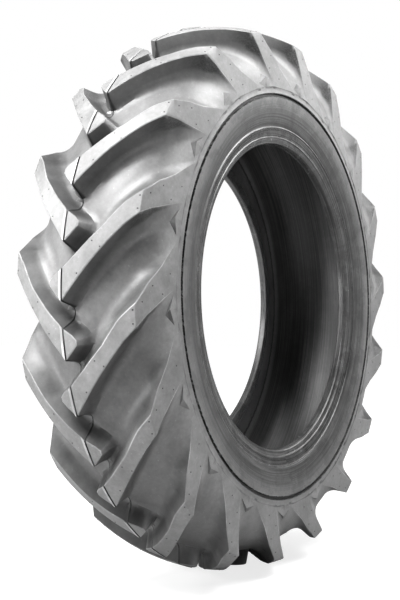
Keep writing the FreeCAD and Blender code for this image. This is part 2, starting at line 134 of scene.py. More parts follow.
# Lug walls, their flats, and the depth below the lugs' tops where the painted shade in the gaps is darkest
DRAFT = math.radians(17.0)
ROOT_CENTRE = 10.0
ROOT_SHOULDER = 36.0
BLEND_POWER = 4.0
CHAMFER = 1.1
CHAMFER_DROP_REACH = 0.35
CHAMFER_FADE = 4.0
BREAK_CHAMFER = 0.9
ON_LUG = (0.6, 0.9)
FULL_DEPTH = 20.0

# Gussets between the lugs' feet: corners, peak, and the three of them that the face with painted shade
# joins
GUSSET_CORNERS = [(20.8, 421.0), (16.6, 438.7), (14.1, 420.7), (17.6, 411.4)]
GUSSET_PEAK = (17.8, 431.8)
GUSSET_HEIGHT = 3.8
GUSSET_SHADED_FACE = [1, 2, 4]

# Lip below the lugs, toothed at its end: half widths from the lugs' feet, and radii
LIP_RADIUS = 399.2
LIP = [(-0.6, 403.6), (-0.15, 402.2), (0.0, 401.2), (-0.4, LIP_RADIUS)]
LIP_TOOTH = 1.6

# Groove below the lip
GROOVE_OUTER = 398.8
GROOVE_INNER = 394.6
GROOVE_EDGE = 393.8
GROOVE_DEPTH = 3.6

# Vent stubs: places by angle and half width on the tread, and by angle and radius on the
# shoulder, then each stub's rings by radius and height over the lug
VENTS_TREAD = [(4.6, 30.0), (10.0, 54.0), (9.0, 68.0), (15.9, 119.0), (18.3, 119.5)]
VENTS_SHOULDER = [(19.6, 500.0), (22.6, 474.0), (21.0, 449.0), (25.4, 430.0)]
VENT_RINGS = ((1.3, -0.5), (1.3, 0.0), (0.9, 0.5))
VENT_SIDES = 8

# Mesh spacing: along the edges, in rows beside them, over the tread's rest, and in the rings
OUTLINE_STEP = 6.0
FINE_STEP = 3.0
ROWS = (3.0, 6.0, 8.5, 10.5, 13.0, 16.0, 20.0, 26.0, 33.0, 40.0)
TOP_ROWS = (-3.5,)
NEAR_ROWS = 12.0
NEAR_ROW_GAP = 2.0
FAR_ROW_GAP = 3.2
ROW_MARGIN = 2.0
ROW_SLACK = 0.3
GRID_STEP = 8.5
GRID_ROW = 0.866 * GRID_STEP
GRID_GAP = 0.62 * GRID_STEP
GRID_MARGIN = 4.0
SEAM_STEP = 0.5
SEAM_MARGIN = 1.0
RING_POINTS = 360
LIP_POINTS = 3 * RING_POINTS
INNER_STEPS = 5
CROWN_STEPS = 4

# Mesh making: the sheet's scale is in millimetres to a degree, and the weld's reach in metres
SHEET_SCALE = 8.3
SHEET_MERGE = 1e-5
TRIANGLES_INSIDE = 1
SHARP_EDGE = math.radians(28)
WELD_REACH = 2e-6

# Limits in the working: steps of the casing's table, angles in radians, and shares
TABLE_STEPS = 600
FACE_FROM = 0.2
FACE_SLOPE = 0.05
CORNER_TURN = 0.1
MITRE_LEAST = 0.5
TINY = 1e-9


def arc_radius(run, drop):
    """Radius of an arc that sets out along a run and has dropped so far at its end."""
    return (run**2 + drop**2) / (2 * drop)


def shoulder_radius(crown_arc, half, rise):
    """Radius of the arc that joins a crown arc smoothly and is upright at the widest place."""
    return (crown_arc**2 - half**2 - rise**2) / (2 * (crown_arc - half))


def carried(value, old, new):
    """A signed value carried from one table to another, and on past their ends."""
    extra = np.maximum(np.abs(value) - old[-1], 0.0)
    return np.sign(value) * (np.interp(np.abs(value), old, new) + extra)


class Casing:
    """The casing's outer outline, by length from the centre plane."""

    def __init__(self):
        self.crown_centre = CROWN_RADIUS - CROWN_ARC
        rise = WIDEST_RADIUS - self.crown_centre
        self.arc = shoulder_radius(CROWN_ARC, WIDEST_HALF, rise)
        self.centre = WIDEST_HALF - self.arc
        self.turn = math.atan2(self.centre, rise)
        self.crown_length = CROWN_ARC * self.turn
        self.end = self.crown_length + self.arc * (math.pi / 2 - self.turn)
        self.top_centre = TREAD_TOP - TREAD_ARC
        self.break_radius = self.top_centre + math.sqrt(TREAD_ARC**2 - BREAK_HALF**2)
        self.table()

    def place(self, length, height=0.0):
        """Half width, radius and the normal's angle from the radius, at a height over a length."""
        length = np.abs(length)
        on_crown = length < self.crown_length
        angle = np.where(on_crown, length / CROWN_ARC, self.turn + (length - self.crown_length) / self.arc)
        reach = np.where(on_crown, CROWN_ARC, self.arc) + height
        width = np.where(on_crown, 0.0, self.centre) + reach * np.sin(angle)
        radius = np.where(on_crown, self.crown_centre, WIDEST_RADIUS) + reach * np.cos(angle)
        return width, radius, angle

    def length_under(self, width, radius):
        """Length of the casing place whose normal passes through a point."""
        width, radius = np.asarray(width, float), np.asarray(radius, float)
        across = np.abs(width)
        crown = np.arctan2(across, radius - self.crown_centre)
        shoulder = np.arctan2(across - self.centre, radius - WIDEST_RADIUS)
        length = np.where(crown < self.turn, CROWN_ARC * crown,
                          self.crown_length + self.arc * (shoulder - self.turn))
        return np.where(width < 0, -length, length)

    def tread_radius(self, width):
        """Radius of the lugs' tops at a half width."""
        return self.top_centre + np.sqrt(TREAD_ARC**2 - np.square(width))

    def face_half(self, radius):
        """Half width of the lugs' shoulder faces at a radius."""
        share = (self.break_radius - radius) / (self.break_radius - WIDEST_RADIUS)
        return BREAK_HALF + share * (FOOT_HALF - BREAK_HALF)

    def top(self, length):
        """Height of the lugs' tops and shoulder faces over the casing."""
        width, radius, angle = self.place(length)
        sine, cosine = np.sin(angle), np.cos(angle)
        down = radius - self.top_centre
        dot = width * sine + down * cosine
        over_tread = -dot + np.sqrt(dot**2 - (width**2 + down**2 - TREAD_ARC**2))
        run = self.break_radius - WIDEST_RADIUS
        lean = FOOT_HALF - BREAK_HALF
        normal = np.array([run, lean]) / math.hypot(run, lean)
        gap = (BREAK_HALF - width) * normal[0] + (self.break_radius - radius) * normal[1]
        over_face = gap / np.maximum(sine * normal[0] + cosine * normal[1], FACE_SLOPE)
        return np.minimum(over_tread, np.where(angle > FACE_FROM, over_face, over_tread))

    def table(self):
        """True lengths half way up the lugs, for distances across the tread."""
        self.steps = np.linspace(0.0, self.end, TABLE_STEPS)
        curve = np.where(self.steps < self.crown_length, CROWN_ARC, self.arc)
        stretch = 1 + 0.5 * self.top(self.steps) / curve
        gains = (stretch[1:] + stretch[:-1]) / 2 * np.diff(self.steps)
        self.true_lengths = np.concatenate([[0.0], np.cumsum(gains)])

    def true_length(self, length):
        """True length from the centre plane, for a casing length."""
        return carried(length, self.steps, self.true_lengths)

    def from_true(self, true):
        """Casing length, for a true length from the centre plane."""
        return carried(true, self.true_lengths, self.steps)

    def arc_scale(self, length):
        """Millimetres to a degree round the axle, half way up the lugs."""
        height = 0.5 * self.top(np.minimum(np.abs(length), self.end))
        return np.radians(self.place(length, height)[1])


casing = Casing()


def on_tread(points):
    """Angle and casing length of points given by angle and half width on the tread."""
    angle, width = np.array(points, float).T
    return np.column_stack([angle, casing.length_under(width, casing.tread_radius(width))])


def on_shoulder(points):
    """Angle and casing length of points given by angle and radius on the shoulder face."""
    angle, radius = np.array(points, float).T
    return np.column_stack([angle, casing.length_under(casing.face_half(radius), radius)])


def resample(points, spacing):
    """The same line with more points, no further apart than the spacing."""
    out = [points[:1]]
    for first, second in zip(points[:-1], points[1:]):
        scale = casing.arc_scale((first[1] + second[1]) / 2)
        run = (second[0] - first[0]) * scale
        rise = casing.true_length(second[1]) - casing.true_length(first[1])
        count = max(1, math.ceil(math.hypot(run, rise) / spacing))
        share = np.linspace(0, 1, count + 1)[1:, None]
        out.append(first + (second - first) * share)
    return np.vstack(out)


def lug_outline(spacing):
    """The lug's top outline, from its foot's tail side round the nose to its foot's lead side."""
    tail = np.vstack([on_shoulder(TAIL_SHOULDER[::-1]), on_tread(TAIL_TREAD[::-1])])
    corner = on_tread([(0.0, 0.0)])
    nose = on_tread(NOSE[::-1])
    lead = np.vstack([on_tread(LEAD_TREAD), on_shoulder(LEAD_SHOULDER)])
    line = np.vstack([tail, corner, nose, lead])
    line[0, 1] = line[-1, 1] = casing.end
    return resample(line, spacing)


def directions(line):
    """Unit vectors along a line at its points, and outwards from the lug, on the flat sheet."""
    scale = casing.arc_scale(line[:, 1])
    true = casing.true_length(line[:, 1])
    step = np.column_stack([np.diff(line[:, 0]) * (scale[1:] + scale[:-1]) / 2, np.diff(true)])
    step /= np.linalg.norm(step, axis=1)[:, None]
    outward = np.column_stack([step[:, 1], -step[:, 0]])
    return np.vstack([outward[:1], outward]), np.vstack([outward, outward[-1:]])


def shift(line, offset):
    """Moves points by an offset in millimetres on the flat sheet."""
    scale = casing.arc_scale(line[:, 1])
    true = casing.true_length(line[:, 1]) + offset[:, 1]
    return np.column_stack([line[:, 0] + offset[:, 0] / scale, casing.from_true(true)])


def mitred(line, distance):
    """A line beside the outline, mitred at its corners."""
    before, after = directions(line)
    middle = before + after
    middle /= np.linalg.norm(middle, axis=1)[:, None]
    stretch = 1 / np.maximum((middle * after).sum(axis=1), MITRE_LEAST)
    out = shift(line, middle * (distance * stretch)[:, None])
    out[[0, -1]] = line[[0, -1]]
    return out


def row(line, distance, spacing):
    """Points at a distance outside the outline, fanned round its corners."""
    before, after = directions(line)
    out = []
    for index in range(len(line)):
        first, second = before[index], after[index]
        turn = math.acos(max(-1.0, min(1.0, float(first @ second))))
        count = max(1, math.ceil(turn * abs(distance) / spacing))
        for share in np.linspace(0, 1, count + 1) if turn > CORNER_TURN else (0.5,):
            way = first * (1 - share) + second * share
            way = way / np.linalg.norm(way)
            out.append(shift(line[index:index + 1], way[None] * distance)[0])
    return np.array(out)


def copies(line):
    """A line of one lug on every lug that reaches into one cell: near lugs, then far lugs' noses."""
    near = [line + [turn, 0.0] for turn in FULL_TURNS]
    far = [line * [1.0, -1.0] + [turn, 0.0] for turn in HALF_TURNS]
    return near + far


LUGS = copies(lug_outline(FINE_STEP))


def distance_to(line, points):
    """Distance of each point from a line, and the casing length at the nearest place on it."""
    scale = (casing.arc_scale(line[:, 1])[None, :] + casing.arc_scale(points[:, 1])[:, None]) / 2
    across = (line[None, :, 0] - points[:, None, 0]) * scale
    up = casing.true_length(line[:, 1])[None, :] - casing.true_length(points[:, 1])[:, None]
    run, rise = np.diff(across, axis=1), np.diff(up, axis=1)
    share = -(across[:, :-1] * run + up[:, :-1] * rise) / np.maximum(run**2 + rise**2, TINY)
    share = np.clip(share, 0.0, 1.0)
    reach = np.hypot(across[:, :-1] + share * run, up[:, :-1] + share * rise)
    best = reach.argmin(axis=1)
    index = np.arange(len(points))
    lengths = line[best, 1] + share[index, best] * (line[best + 1, 1] - line[best, 1])
    return reach[index, best], lengths


def inside(line, points):
    """Which points lie inside a lug's outline, which is open at the foot."""
    beyond = np.array([[line[-1, 0], 2 * line[-1, 1]], [line[0, 0], 2 * line[0, 1]]])
    ring = np.vstack([line, beyond, line[:1]])
    x, y = points[:, :1], points[:, 1:]
    first, second = ring[:-1].T, ring[1:].T
    straddles = (first[1] > y) != (second[1] > y)
    slope = (second[0] - first[0]) / np.where(second[1] == first[1], 1.0, second[1] - first[1])
    return ((straddles & (x < first[0] + (y - first[1]) * slope)).sum(axis=1) % 2) == 1


def wall_height(distance, top, root):
    """Height of a lug's wall at a distance out from its top edge: drafted, then a round root."""
    straight = top - root * (1 - math.sin(DRAFT))
    wall_end = np.maximum(straight, 0.0) * math.tan(DRAFT)
    low = np.sqrt(np.maximum(root**2 - (root - top) ** 2, 0.0))
    root_end = np.where(straight > 0, wall_end + root * math.cos(DRAFT), low)
    line = top - distance / math.tan(DRAFT)
    round_part = root - np.sqrt(np.maximum(root**2 - (root_end - distance) ** 2, 0.0))
    return np.where(distance < wall_end, line, np.where(distance < root_end, round_part, 0.0))


def root_radius(length):
    """Radius at the foot of the lugs' walls, larger towards the shoulder."""
    width = casing.place(length)[0]
    return ROOT_CENTRE + np.clip(width / BREAK_HALF, 0.0, 1.0) * (ROOT_SHOULDER - ROOT_CENTRE)


def gusset_places():
    """The gusset's corners and its peak, as angles and casing lengths."""
    angle, radius = np.array(GUSSET_CORNERS + [GUSSET_PEAK]).T
    turn = np.arcsin((radius - WIDEST_RADIUS) / casing.arc)
    return np.column_stack([angle, casing.end - casing.arc * turn])


def gusset_height(points, turn):
    """Height of a small four-sided pyramid, below zero outside it."""
    places = gusset_places() + [turn, 0.0]
    peak = places[-1]
    scale = casing.arc_scale(peak[1])
    local = (points - peak) * [scale, 1.0]
    corners = (places[:-1] - peak) * [scale, 1.0]
    height = np.full(len(points), GUSSET_HEIGHT)
    for first, second in zip(corners, np.roll(corners, -1, axis=0)):
        way = second - first
        normal = np.array([way[1], -way[0]])
        edge = normal @ first
        height = np.minimum(height, GUSSET_HEIGHT * (1 - (local @ normal) / edge))
    return height


def heights(points, side):
    """Height of the finished surface over the casing at places in one cell of one half."""
    length = points[:, 1]
    top = casing.top(length)
    total = np.zeros(len(points))
    covered = np.zeros(len(points), bool)
    for line in LUGS:
        reach, at = distance_to(line, points)
        covered |= inside(line, points)
        wall = wall_height(reach, casing.top(np.abs(at)), root_radius(at))
        total += np.maximum(wall, 0.0) ** BLEND_POWER
    height = np.where(covered, top, np.minimum(total ** (1 / BLEND_POWER), top))
    for turn in FULL_TURNS:
        height = np.maximum(height, gusset_height(points, turn))
    band = np.clip((length - casing.end + BAND_LENGTH) / BAND_LENGTH, 0.0, 1.0)
    height += (BAND_HALF - WIDEST_HALF - height) * band
    on_lug = np.interp(height / top, ON_LUG, (0.0, 1.0))
    ridge = np.interp(length, SEAM_LENGTHS, NEAR_SEAM if side < 0 else FAR_SEAM)
    low = np.interp(length, SEAM_LENGTHS, LOW_SEAM) if side < 0 else 0.0
    return height + on_lug * ridge + (1 - on_lug) * low


def clipped(line):
    """The pieces of a line on the near side of the centre plane, cut on the plane."""
    points = [line[0]]
    for first, second in zip(line[:-1], line[1:]):
        if (first[1] >= 0) != (second[1] >= 0):
            cut = first + (second - first) * first[1] / (first[1] - second[1])
            points.append(np.array([cut[0], 0.0]))
        points.append(second)
    pieces = groupby(points, key=lambda point: point[1] >= 0)
    return [np.array(list(piece)) for near, piece in pieces if near]


def on_plane(point):
    """Whether a point of the cell lies on the centre plane."""
    return abs(point[1]) < TINY


def chamfer_lines():
    """The two lines of the narrow flat along every lug edge in the cell, cut at the centre plane."""
    outline = lug_outline(OUTLINE_STEP)
    over_foot = casing.top(np.abs(outline[:, 1])) - casing.top(casing.end)
    share = np.clip(over_foot / CHAMFER_FADE, 0.0, 1.0)
    lines = []
    for distance in (-CHAMFER * share, CHAMFER_DROP_REACH * share):
        line = mitred(outline, distance)
        lines += clipped(line)
        lines += [piece for piece in clipped(line * [1.0, -1.0] + [PITCH / 2, 0.0])
                  if on_plane(piece[0]) and on_plane(piece[-1])]
    return lines


def break_lines():
    """The two lines of the narrow flat where a lug's top meets its shoulder face."""
    edge = mitred(lug_outline(OUTLINE_STEP), -CHAMFER)
    tip = len(edge) // 2
    break_length = float(casing.length_under(BREAK_HALF, casing.break_radius))
    lines = []
    for length in (break_length - BREAK_CHAMFER, break_length + BREAK_CHAMFER):
        tail = np.interp(-length, -edge[:tip, 1], edge[:tip, 0])
        lead = np.interp(length, edge[tip:, 1], edge[tip:, 0])
        count = math.ceil((lead - tail) * casing.arc_scale(length) / OUTLINE_STEP)
        angles = np.linspace(tail, lead, count + 1)
        lines.append(np.column_stack([angles, np.full(len(angles), length)]))
    return lines


def gap_line():
    """The cell's left side, down the middle of the gap between two lugs."""
    line = np.vstack([on_tread(GAP_TREAD), on_shoulder(GAP_SHOULDER)])
    line[-1, 1] = casing.end
    line = resample(line, OUTLINE_STEP)
    low = [np.array([np.interp(step, line[:, 1], line[:, 0]), step]) for step in SEAM_LENGTHS[1:]]
    return np.vstack([line[:1], low, line[line[:, 1] > SEAM_LENGTHS[-1] + 2 * SEAM_MARGIN]])


def seam_angles(lines):
    """Angles of the points on the centre plane, the same every half pitch."""
    left = GAP_TREAD[0][0]
    half = PITCH / 2
    ends = [point for line in lines for point in (line[0], line[-1])]
    cuts = sorted({round(float(point[0]) % half, 9) for point in ends if on_plane(point)})
    start = left % half
    marks = sorted((cut - start) % half for cut in cuts)
    marks = [0.0] + marks + [half]
    filled = []
    for first, second in zip(marks[:-1], marks[1:]):
        count = max(1, round((second - first) / SEAM_STEP))
        filled += list(np.linspace(first, second, count + 1)[:-1])
    return [left + mark + turn for turn in (0.0, half) for mark in filled] + [left + PITCH]


class Sheet:
    """Points and lines of a flat cell, gathered for triangulation."""

    def __init__(self):
        self.points = []
        self.lines = []

    def line(self, points):
        start = len(self.points)
        self.points += [tuple(map(float, point)) for point in points]
        self.lines += [(index, index + 1) for index in range(start, len(self.points) - 1)]

    def scatter(self, candidates, gap):
        """Adds the candidates that are no nearer than the gap to any point so far."""
        placed = np.array(self.points)
        scale = casing.arc_scale(placed[:, 1])
        true = casing.true_length(placed[:, 1])
        for point in candidates:
            own = float(casing.arc_scale(point[1]))
            level = float(casing.true_length(point[1]))
            near = np.hypot((placed[:, 0] - point[0]) * own, true - level)
            if near.min() >= gap:
                placed = np.vstack([placed, point])
                true = np.append(true, level)
        self.points = [tuple(map(float, point)) for point in placed]


def within_cell(points, side, margin):
    """Which points lie in the cell, clear of its sides by a margin."""
    scale = casing.arc_scale(points[:, 1])
    left = np.interp(points[:, 1], side[:, 1], side[:, 0])
    clear = (points[:, 0] - left) * scale > margin
    clear &= (left + PITCH - points[:, 0]) * scale > margin
    clear &= points[:, 1] > SEAM_LENGTHS[-1] + SEAM_MARGIN
    return clear & (points[:, 1] < casing.end - margin)


def border_lines(sheet, side, along_seam):
    """The cell's sides, and the lines along the seam, the band and the casing's widest place."""
    sheet.line(side)
    sheet.line(side + [PITCH, 0.0])
    sheet.line([(angle, 0.0) for angle in along_seam])
    foot = np.arange(round(side[-1, 0]), round(side[-1, 0] + PITCH) + 1)
    sheet.line([(angle, casing.end) for angle in foot])
    for step in SEAM_LENGTHS[1:]:
        left = np.interp(step, side[:, 1], side[:, 0])
        sheet.line([(angle, step) for angle in along_seam + left - side[0, 0]])
    band = casing.end - BAND_LENGTH
    left = np.interp(band, side[:, 1], side[:, 0])
    sheet.line([(left, band), (left + PITCH, band)])


def gusset_lines(sheet):
    """The gusset's outline, and its two folds over the peak."""
    places = gusset_places()
    sheet.line(np.vstack([places[:4], places[:1]]))
    sheet.line(places[[0, 4, 2]])
    sheet.line(places[[1, 4, 3]])


def scatter_rows(sheet, side):
    """Rows of points beside the lugs' edges, up to where another edge is nearer."""
    outline = lug_outline(OUTLINE_STEP)
    for distance in ROWS + TOP_ROWS:
        rows = np.vstack(copies(row(outline, distance, OUTLINE_STEP)))
        rows = rows[within_cell(rows, side, ROW_MARGIN)]
        reach = np.min([distance_to(lug, rows)[0] for lug in LUGS], axis=0)
        rows = rows[reach > abs(distance) - ROW_SLACK]
        sheet.scatter(rows, NEAR_ROW_GAP if abs(distance) < NEAR_ROWS else FAR_ROW_GAP)


def grid_points(side):
    """Evenly staggered points over the cell."""
    out = []
    for index, true in enumerate(np.arange(0.0, casing.true_lengths[-1], GRID_ROW)):
        length = float(casing.from_true(true))
        step = GRID_STEP / float(casing.arc_scale(length))
        left = np.interp(length, side[:, 1], side[:, 0])
        angles = np.arange(left + step * (0.5 if index % 2 else 0.0), left + PITCH, step)
        out += [(angle, length) for angle in angles]
    points = np.array(out)
    return points[within_cell(points, side, GRID_MARGIN)]


def triangulate(sheet):
    """Triangles between a sheet's points that keep its lines."""
    flat_points = [Vector((angle * SHEET_SCALE, length)) for angle, length in sheet.points]
    result = delaunay_2d_cdt(flat_points, sheet.lines, [], TRIANGLES_INSIDE, SHEET_MERGE)
    points = np.array([(point.x / SHEET_SCALE, point.y) for point in result[0]])
    faces = [tuple(face) for face in result[2]]
    return points, faces


def tread_cell():
    """One pitch of one half: angles and casing lengths of its points, and its faces."""
    side = gap_line()
    chamfers = chamfer_lines()
    sheet = Sheet()
    border_lines(sheet, side, np.array(seam_angles(chamfers)))
    for line in chamfers + break_lines():
        sheet.line(line)
    gusset_lines(sheet)
    scatter_rows(sheet, side)
    sheet.scatter(grid_points(side), GRID_GAP)
    return triangulate(sheet)


def on_edges(points):
    """Which points lie in the narrow flats along the lugs' edges."""
    worn = np.zeros(len(points), bool)
    for line in LUGS:
        reach = distance_to(line, points)[0]
        worn |= reach < np.where(inside(line, points), CHAMFER, CHAMFER_DROP_REACH)
    return worn


def in_triangle(points, corners):
    """Which points lie inside a triangle."""
    ways = np.roll(corners, -1, axis=0) - corners
    turns = [way[0] * (points[:, 1] - first[1]) - way[1] * (points[:, 0] - first[0])
             for first, way in zip(corners, ways)]
    return (np.min(turns, axis=0) > 0) | (np.max(turns, axis=0) < 0)


def wear_and_painted_light_marks(points, faces, side):
    """The mark of each face in a cell: wear with a painted highlight on the edges, painted shade on one
    gusset face, and the seam's painted shade and painted highlight.
    """
    middles = np.array([points[list(face)].mean(axis=0) for face in faces])
    length = middles[:, 1]
    # The lugs' edges are pale from wear and a painted highlight
    marks = np.where(on_edges(middles), EDGE_WEAR_AND_HIGHLIGHT, 0.0)
    # One face of each gusset gets painted shade
    painted_shade_face = gusset_places()[GUSSET_SHADED_FACE]
    for turn in FULL_TURNS:
        marks[in_triangle(middles, painted_shade_face + [turn, 0.0])] = GUSSET_PAINTED_SHADE
    # The seam fin's near side gets a line of painted shade, and on the lugs its far side a painted
    # highlight
    if side < 0:
        marks[length < SEAM_LENGTHS[2]] = SEAM_PAINTED_SHADE
    else:
        on_lug = np.any([inside(line, middles) for line in LUGS], axis=0)
        marks[on_lug & (length < SEAM_LENGTHS[3])] = SEAM_PAINTED_HIGHLIGHT
    return marks


def turned(points, height, turn, side):
    """Positions of a cell's points on one side of the tyre."""
    width, radius, _ = casing.place(points[:, 1], height)
    angle = np.radians(points[:, 0] + LUG_PHASE + turn)
    return np.column_stack([radius * np.sin(angle), side * width, radius * np.cos(angle)])


SIDE_ARC = arc_radius(WIDEST_RADIUS - RIM_LINE_RADIUS, WIDEST_HALF - RIM_LINE_HALF)


def wall_half(radius):
    """Half width of the outer side wall at a radius."""
    return WIDEST_HALF - SIDE_ARC + math.sqrt(SIDE_ARC**2 - (WIDEST_RADIUS - radius) ** 2)


def flank_half(radius):
    """Half width of the bead's flank at a radius."""
    return RIM_LINE_HALF - (RIM_LINE_RADIUS - radius) * math.tan(math.radians(FLANK_ANGLE))


def wall_profile():
    """The outer side from the lugs' feet to the rim line: lip, groove, wall and rib."""
    points = [(BAND_HALF, WIDEST_RADIUS)]
    points += [(FOOT_HALF + step, radius) for step, radius in LIP]
    points += [(wall_half(radius) - GROOVE_DEPTH, radius) for radius in (GROOVE_OUTER, GROOVE_INNER)]
    points += [(wall_half(radius), radius) for radius in (GROOVE_EDGE, *WALL_RADII)]
    rib_foot = wall_half(RIM_LINE_RADIUS)
    points += [(rib_foot + height, RIM_LINE_RADIUS + step) for step, height in RIM_RIB]
    return points


def on_arc(half, radius, reach, angles):
    """Points round a centre, at angles from the way out from the axle."""
    return [(half + reach * math.sin(angle), radius + reach * math.cos(angle)) for angle in angles]


def bead_profile():
    """The bead: its flank with the rib, the rounded heel, the seat and the inner flank."""
    points = [(flank_half(radius) + height, radius) for radius, height in HEEL_RIB]
    centre = SEAT_RADIUS + HEEL_RADIUS
    angles = np.radians(HEEL_ANGLES) + math.pi / 2
    points += on_arc(flank_half(centre) - HEEL_RADIUS, centre, HEEL_RADIUS, angles)
    return points + [SEAT_END, SEAT_TOE, BEAD_INSIDE, BEAD_TOP]


def inner_profile():
    """The casing's inside, from the bead over the side wall to the middle of the crown."""
    half = WIDEST_HALF - WALL_THICKNESS
    drop = WIDEST_RADIUS - BEAD_TOP[1]
    low_arc = arc_radius(drop, half - BEAD_TOP[0])
    crown_arc = CROWN_ARC - CROWN_THICKNESS
    rise = WIDEST_RADIUS - casing.crown_centre
    arc = shoulder_radius(crown_arc, half, rise)
    level = math.pi / 2
    low_turn = level + math.asin(drop / low_arc)
    turn = math.atan2(half - arc, rise)
    low_angles = np.linspace(low_turn, level, INNER_STEPS + 1)[1:]
    shoulder_angles = np.linspace(level, turn, INNER_STEPS + 1)[1:]
    crown_angles = np.linspace(turn, 0.0, CROWN_STEPS + 1)[1:]
    return (on_arc(half - low_arc, WIDEST_RADIUS, low_arc, low_angles)
            + on_arc(half - arc, WIDEST_RADIUS, arc, shoulder_angles)
            + on_arc(0.0, casing.crown_centre, crown_arc, crown_angles))


def circle(width, radius, side, count, tooth=0.0):
    """A ring of points round the axle, with every other one further out by a tooth's height."""
    numbers = np.arange(count)
    angles = np.radians(numbers * 360.0 / count + LUG_PHASE)
    reach = radius + tooth * (numbers % 2)
    across = np.full(count, side * width)
    return np.column_stack([reach * np.sin(angles), across, reach * np.cos(angles)])


def ring_step(start, count, steps, index):
    """Corner numbers along one of a ring's equal steps, with the finer points inside it."""
    split = count // steps
    return [start + (index * split + part) % count for part in range(split + 1)]


def ring_faces(start, first, second, side):
    """Faces between a ring of so many points from a start number and the ring after it."""
    steps = min(first, second)
    faces = []
    for index in range(steps):
        near = ring_step(start, first, steps, index)
        far = ring_step(start + first, second, steps, index)
        face = near + far[::-1]
        faces.append(face if side > 0 else face[::-1])
    return faces


def side_rings(side):
    """Points, depths and faces of one side's rings, finer at the toothed lip."""
    profile = wall_profile() + bead_profile() + inner_profile()
    toe = profile.index(SEAT_TOE)
    rings, depths, faces = [], [], []
    for index, (width, radius) in enumerate(profile):
        lip = radius == LIP_RADIUS
        count = LIP_POINTS if lip or radius == GROOVE_OUTER else RING_POINTS
        rings.append(circle(width, radius, side, count, LIP_TOOTH if lip else 0.0))
        # Past the toe the inside counts as fully deep, for the painted shade inside the casing
        depths.append(np.full(count, 1.0 if index > toe else 0.0))
    start = 0
    for first, second in zip(rings[:-1], rings[1:]):
        faces += ring_faces(start, len(first), len(second), side)
        start += len(first)
    return np.vstack(rings), np.concatenate(depths), faces


def place_object(name, data):
    """An object of its own in the scene for a mesh, a lamp or a camera."""
    holder = bpy.data.objects.new(name, data)
    bpy.context.scene.collection.objects.link(holder)
    return holder


class Gathered:
    """Points and faces, gathered for one mesh."""

    def __init__(self):
        self.points = []
        self.faces = []
        self.count = 0

    def add(self, points, faces):
        """Adds points in millimetres, and the faces between them."""
        self.points.append(points)
        self.faces += [[self.count + corner for corner in face] for face in faces]
        self.count += len(points)

    def mesh(self, name):
        """The mesh of all that was added, in metres."""
        mesh = bpy.data.meshes.new(name)
        mesh.from_pydata((np.vstack(self.points) * MM).tolist(), [], self.faces)
        return mesh


def keep_values(mesh, name, domain, values):
    """Keeps a number for each point or face in the mesh, for the material to read."""
    kept = mesh.attributes.new(name, "FLOAT", domain)
    kept.data.foreach_set("value", np.concatenate(values).astype(np.float32))


def weld(mesh):
    """Joins the points that neighbouring cells and rings share."""
    joined = bmesh.new()
    joined.from_mesh(mesh)
    bmesh.ops.remove_doubles(joined, verts=joined.verts, dist=WELD_REACH)
    joined.to_mesh(mesh)
    joined.free()


def build_tyre():
    """The whole moulding as one closed mesh."""
    gathered = Gathered()
    depths, marks = [], []
    points, faces = tread_cell()
    for side, start in SIDES:
        height = heights(points, side)
        # The depth below the tops sets the painted shade in the gaps, and the gloss
        depth = np.clip((casing.top(points[:, 1]) - height) / FULL_DEPTH, 0.0, 1.0)
        loops = [face[::-1] for face in faces] if side < 0 else faces
        for index in range(LUG_COUNT):
            gathered.add(turned(points, height, start + index * PITCH, side), loops)
        depths.append(np.tile(depth, LUG_COUNT))
        marks.append(np.tile(wear_and_painted_light_marks(points, faces, side), LUG_COUNT))
    for side, _ in SIDES:
        rings, ring_depths, loops = side_rings(side)
        gathered.add(rings, loops)
        depths.append(ring_depths)
        marks.append(np.zeros(len(loops)))
    mesh = gathered.mesh("tyre_moulding")
    keep_values(mesh, "depth", "POINT", depths)
    keep_values(mesh, "wear_and_painted_light", "FACE", marks)
    weld(mesh)
    mesh.shade_smooth()
    mesh.set_sharp_from_angle(angle=SHARP_EDGE)
    return place_object("tyre_moulding", mesh)


def stub_points(place, turn, side):
    """The rings of one vent stub, from inside the rubber up to the stub's top."""
    turns = np.arange(VENT_SIDES) * 2 * math.pi / VENT_SIDES
    ways = np.column_stack([np.cos(turns), np.sin(turns)])
    ground = float(casing.top(place[1]))
    rings = []
    for radius, rise in VENT_RINGS:
        ring = shift(np.tile(place, (VENT_SIDES, 1)), ways * radius)
        rings.append(turned(ring, ground + rise, turn, side))
    return np.vstack(rings)


def stub_faces(side):
    """The faces of one closed stub of three rings."""
    ring = list(range(VENT_SIDES))
    faces = [ring[::-1], [2 * VENT_SIDES + corner for corner in ring]]
    for level in (0, VENT_SIDES):
        for corner in ring:
            low = [level + corner, level + (corner + 1) % VENT_SIDES]
            faces.append(low + [VENT_SIDES + number for number in low[::-1]])
    return faces if side > 0 else [face[::-1] for face in faces]


def build_vents():
    """The trimmed stubs that the mould's vents leave on the lugs."""
    places = np.vstack([on_tread(VENTS_TREAD), on_shoulder(VENTS_SHOULDER)])
    gathered = Gathered()
    for side, start in SIDES:
        for index in range(LUG_COUNT):
            for place in places:
                gathered.add(stub_points(place, start + index * PITCH, side), stub_faces(side))
    return place_object("vent_stubs", gathered.mesh("vent_stubs"))


# Noise by its scale in turns to a metre, detail and roughness, the span of it that counts, and
# the values at the span's two ends
Noise = namedtuple("Noise", "scale detail roughness span ends")

# Rubber: greys are linear, and most noises give factors on the grey
RUBBER_GREY = 0.19
